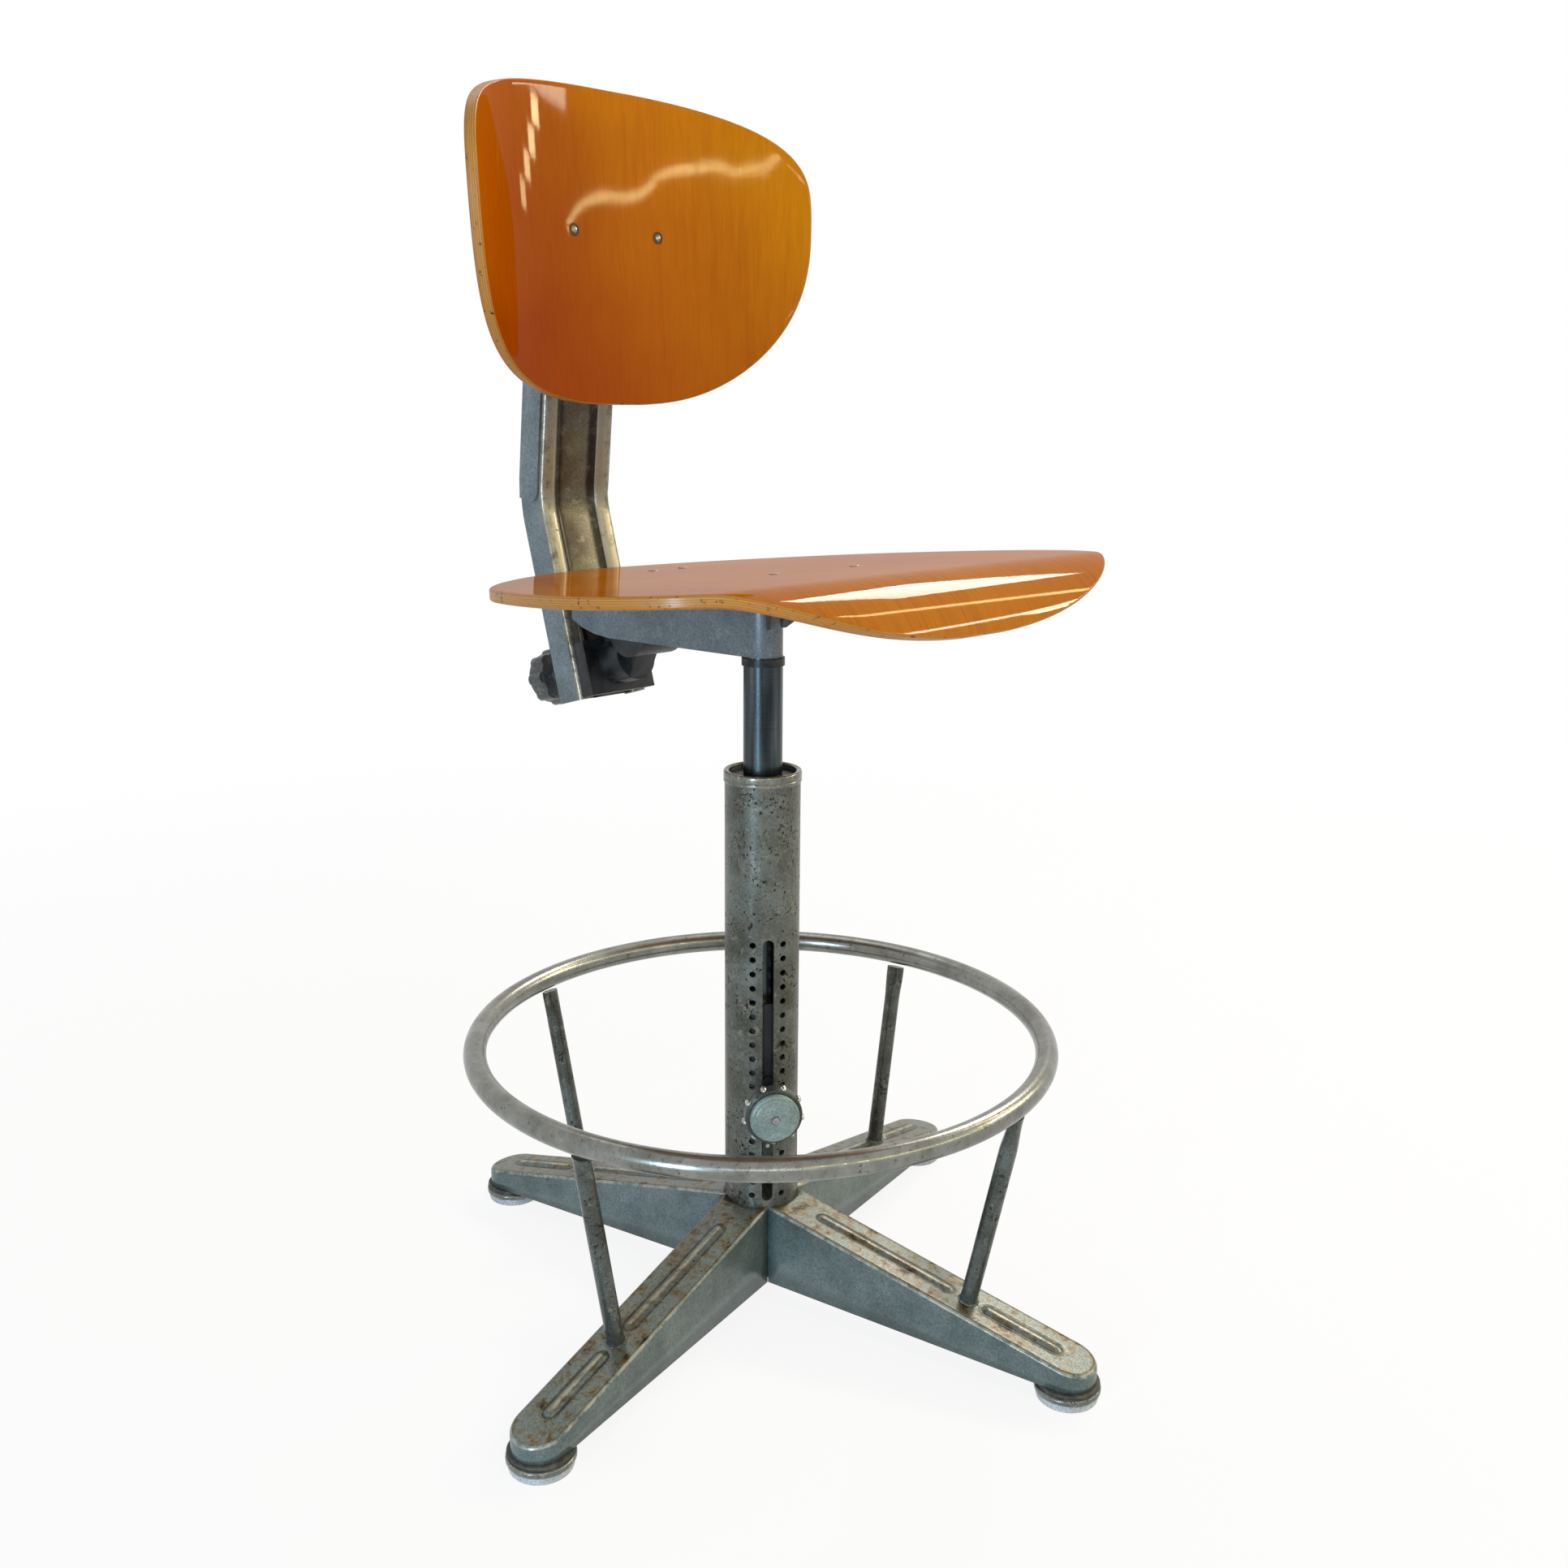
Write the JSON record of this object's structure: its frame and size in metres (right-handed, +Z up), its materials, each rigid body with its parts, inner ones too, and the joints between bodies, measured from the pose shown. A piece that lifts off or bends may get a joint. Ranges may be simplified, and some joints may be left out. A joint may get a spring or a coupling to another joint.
{
  "type": "drafting chair",
  "caption": "Height-indexed drafting chair: four folded legs with a foot ring, a swivelling plywood seat, and a plywood back on a bent steel post",
  "frame": {"origin": "on the column's axis at floor level, between the four glides", "axes": "+Z up; the sitter faces -Y; +X is at the sitter's left side"},
  "size_m": [0.5972, 0.5972, 0.9663],
  "materials": {
    "back_knob_plastic": "grey enamel on a metal handwheel",
    "back_plywood": "amber varnished plywood",
    "black_iron": "black enamelled cast iron",
    "bracket_paint": "aged grey paint",
    "brass": "dull brass",
    "bright_steel": "plain steel",
    "cheek_paint": "aged blue-grey paint",
    "column_paint": "aged silver-grey hammered paint",
    "cup_rubber": "dark rubber",
    "glide_steel": "bright glide face",
    "hinge_paint": "aged grey paint",
    "knob_plastic": "grey-green enamel on a metal handwheel",
    "leg_paint": "aged silver-grey hammered paint, worn on top",
    "ring_nickel": "old nickel plate with brown spots",
    "screw_steel": "dulled screw heads",
    "seat_plywood": "amber varnished plywood",
    "spindle_steel": "oiled dark steel",
    "stem_paint": "aged grey paint, worn on its ridges",
    "strut_steel": "worn grey paint over steel"
  },
  "bodies": {
    "base": {"column_tube": "column_paint", "column_rim": "column_paint", "top_bush": "black_iron", "leg_1": "leg_paint", "leg_2": "leg_paint", "leg_3": "leg_paint", "leg_4": "leg_paint", "foot_cup_1": "cup_rubber", "foot_cup_2": "cup_rubber", "foot_cup_3": "cup_rubber", "foot_cup_4": "cup_rubber", "glide_1": "glide_steel", "glide_2": "glide_steel", "glide_3": "glide_steel", "glide_4": "glide_steel", "foot_ring": "ring_nickel", "strut_1": "strut_steel", "strut_2": "strut_steel", "strut_3": "strut_steel", "strut_4": "strut_steel"},
    "carrier": {"carrier_sleeve": "bright_steel", "guide_key": "bright_steel", "key_screws": "bright_steel", "carrier_floor": "bright_steel", "thrust_ball": "bright_steel", "lower_bush": "brass", "knob_washer": "bright_steel"},
    "index": {"index_plate": "bright_steel", "clamp_bolt": "bright_steel"},
    "height_knob": {"knob_rim": "knob_plastic", "knob_cap": "knob_plastic", "knob_screw": "bright_steel"},
    "seat_unit": {"spindle": "spindle_steel", "retaining_ring": "bright_steel", "spindle_collar": "black_iron", "seat_bracket": "bracket_paint", "front_arm_left": "bracket_paint", "front_arm_right": "bracket_paint", "seat_shell": "seat_plywood", "seat_screws": "screw_steel", "seat_nuts": "bright_steel", "tilt_pin": "bright_steel"},
    "back_link": {"tilt_block": "black_iron", "back_stud": "bright_steel", "back_washer": "bright_steel"},
    "back_handle": {"back_knob": "back_knob_plastic", "back_knob_nut": "brass"},
    "back_post": {"back_stem": "stem_paint", "post_cheeks": "cheek_paint", "cheek_rivets": "bright_steel", "cheek_pin": "bright_steel"},
    "backrest": {"backrest_shell": "back_plywood", "backrest_hinge": "hinge_paint", "backrest_screws": "screw_steel", "backrest_nuts": "bright_steel"}
  },
  "joints": [
    {"name": "height_slide", "type": "slide", "parent": "base", "child": "carrier", "axis": [0, 0, 1], "range_m": [-0.036, 0.108]},
    {"name": "seat_swivel", "type": "hinge", "parent": "carrier", "child": "seat_unit", "pos_m": [0, 0, 0.5], "axis": [0, 0, 1], "continuous": true},
    {"name": "index_draw", "type": "slide", "parent": "carrier", "child": "index", "axis": [-0.5736, -0.8192, 0], "range_m": [0, 0.003]},
    {"name": "height_knob_turn", "type": "hinge", "parent": "carrier", "child": "height_knob", "pos_m": [0, 0, 0.183], "axis": [-0.5736, -0.8192, 0], "range_deg": [0, 720]},
    {"name": "back_tilt", "type": "hinge", "parent": "seat_unit", "child": "back_link", "pos_m": [0, 0.137, 0.549], "axis": [1, 0, 0], "range_deg": [-8, 3]},
    {"name": "back_height", "type": "slide", "parent": "back_link", "child": "back_post", "axis": [0, 0.2756, 0.9613], "range_m": [-0.03, 0]},
    {"name": "back_knob_turn", "type": "hinge", "parent": "back_link", "child": "back_handle", "pos_m": [0, 0.1875, 0.513], "axis": [0, 0.9613, -0.2756], "range_deg": [0, 720]},
    {"name": "backrest_pivot", "type": "hinge", "parent": "back_post", "child": "backrest", "pos_m": [0, 0.19005, 0.85554], "axis": [1, 0, 0], "range_deg": [-8, 10]}
  ],
  "couplings": [
    {"joint": "index_draw", "follows": "height_knob_turn", "m_per_rad": 0.000238}
  ]
}
